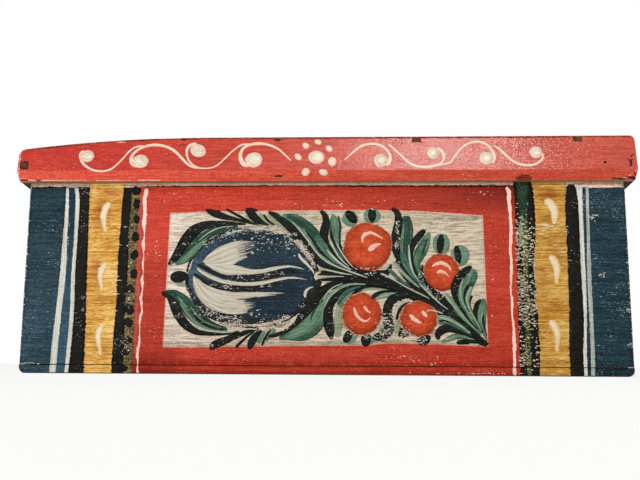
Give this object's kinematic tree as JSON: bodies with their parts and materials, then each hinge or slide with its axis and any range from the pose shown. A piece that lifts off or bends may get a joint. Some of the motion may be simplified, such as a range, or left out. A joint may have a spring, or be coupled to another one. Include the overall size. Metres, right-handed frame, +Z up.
{
  "type": "painted wooden box with hinged lid",
  "caption": "Small rectangular wooden chest with an overhanging hinged lid, a folk-painted front with a floral panel and stripes, for keeping small things.",
  "frame": {"origin": "centre of the bottom face, on the surface that the box stands on", "axes": "+X to the right along the front, +Y from the front to the back, +Z up"},
  "size_m": [0.3786, 0.2263, 0.1451],
  "materials": {
    "painted_front": "folk-painted pine under worn varnish",
    "painted_end": "dark blue paint on pine, worn at the edges",
    "painted_lid": "red paint on pine under varnish",
    "bare_wood": "planed bare pine, aged",
    "peg_wood": "split hardwood peg, end grain",
    "iron": "forged iron with brown rust"
  },
  "bodies": {
    "box": {"front_board": "painted_front", "back_board": "bare_wood", "left_end_board": "painted_end", "right_end_board": "painted_end", "bottom_board": "bare_wood", "front_corner_pegs": "painted_front", "back_corner_pegs": "peg_wood", "bottom_front_nails": "iron", "bottom_back_nails": "iron", "bottom_end_nails": "iron", "left_back_eye": "iron", "right_back_eye": "iron"},
    "lid": {"lid_board": "painted_lid", "front_moulding": "painted_lid", "left_moulding": "painted_lid", "right_moulding": "painted_lid", "front_moulding_nails": "iron", "corner_nails": "iron", "left_moulding_nails": "iron", "right_moulding_nails": "iron", "left_lid_eye": "iron", "right_lid_eye": "iron"}
  },
  "joints": [
    {"name": "lid_hinge", "type": "hinge", "parent": "box", "child": "lid", "pos_m": [0, 0.1071, 0.1318], "axis": [-1, 0, 0], "range_deg": [0, 103]}
  ]
}
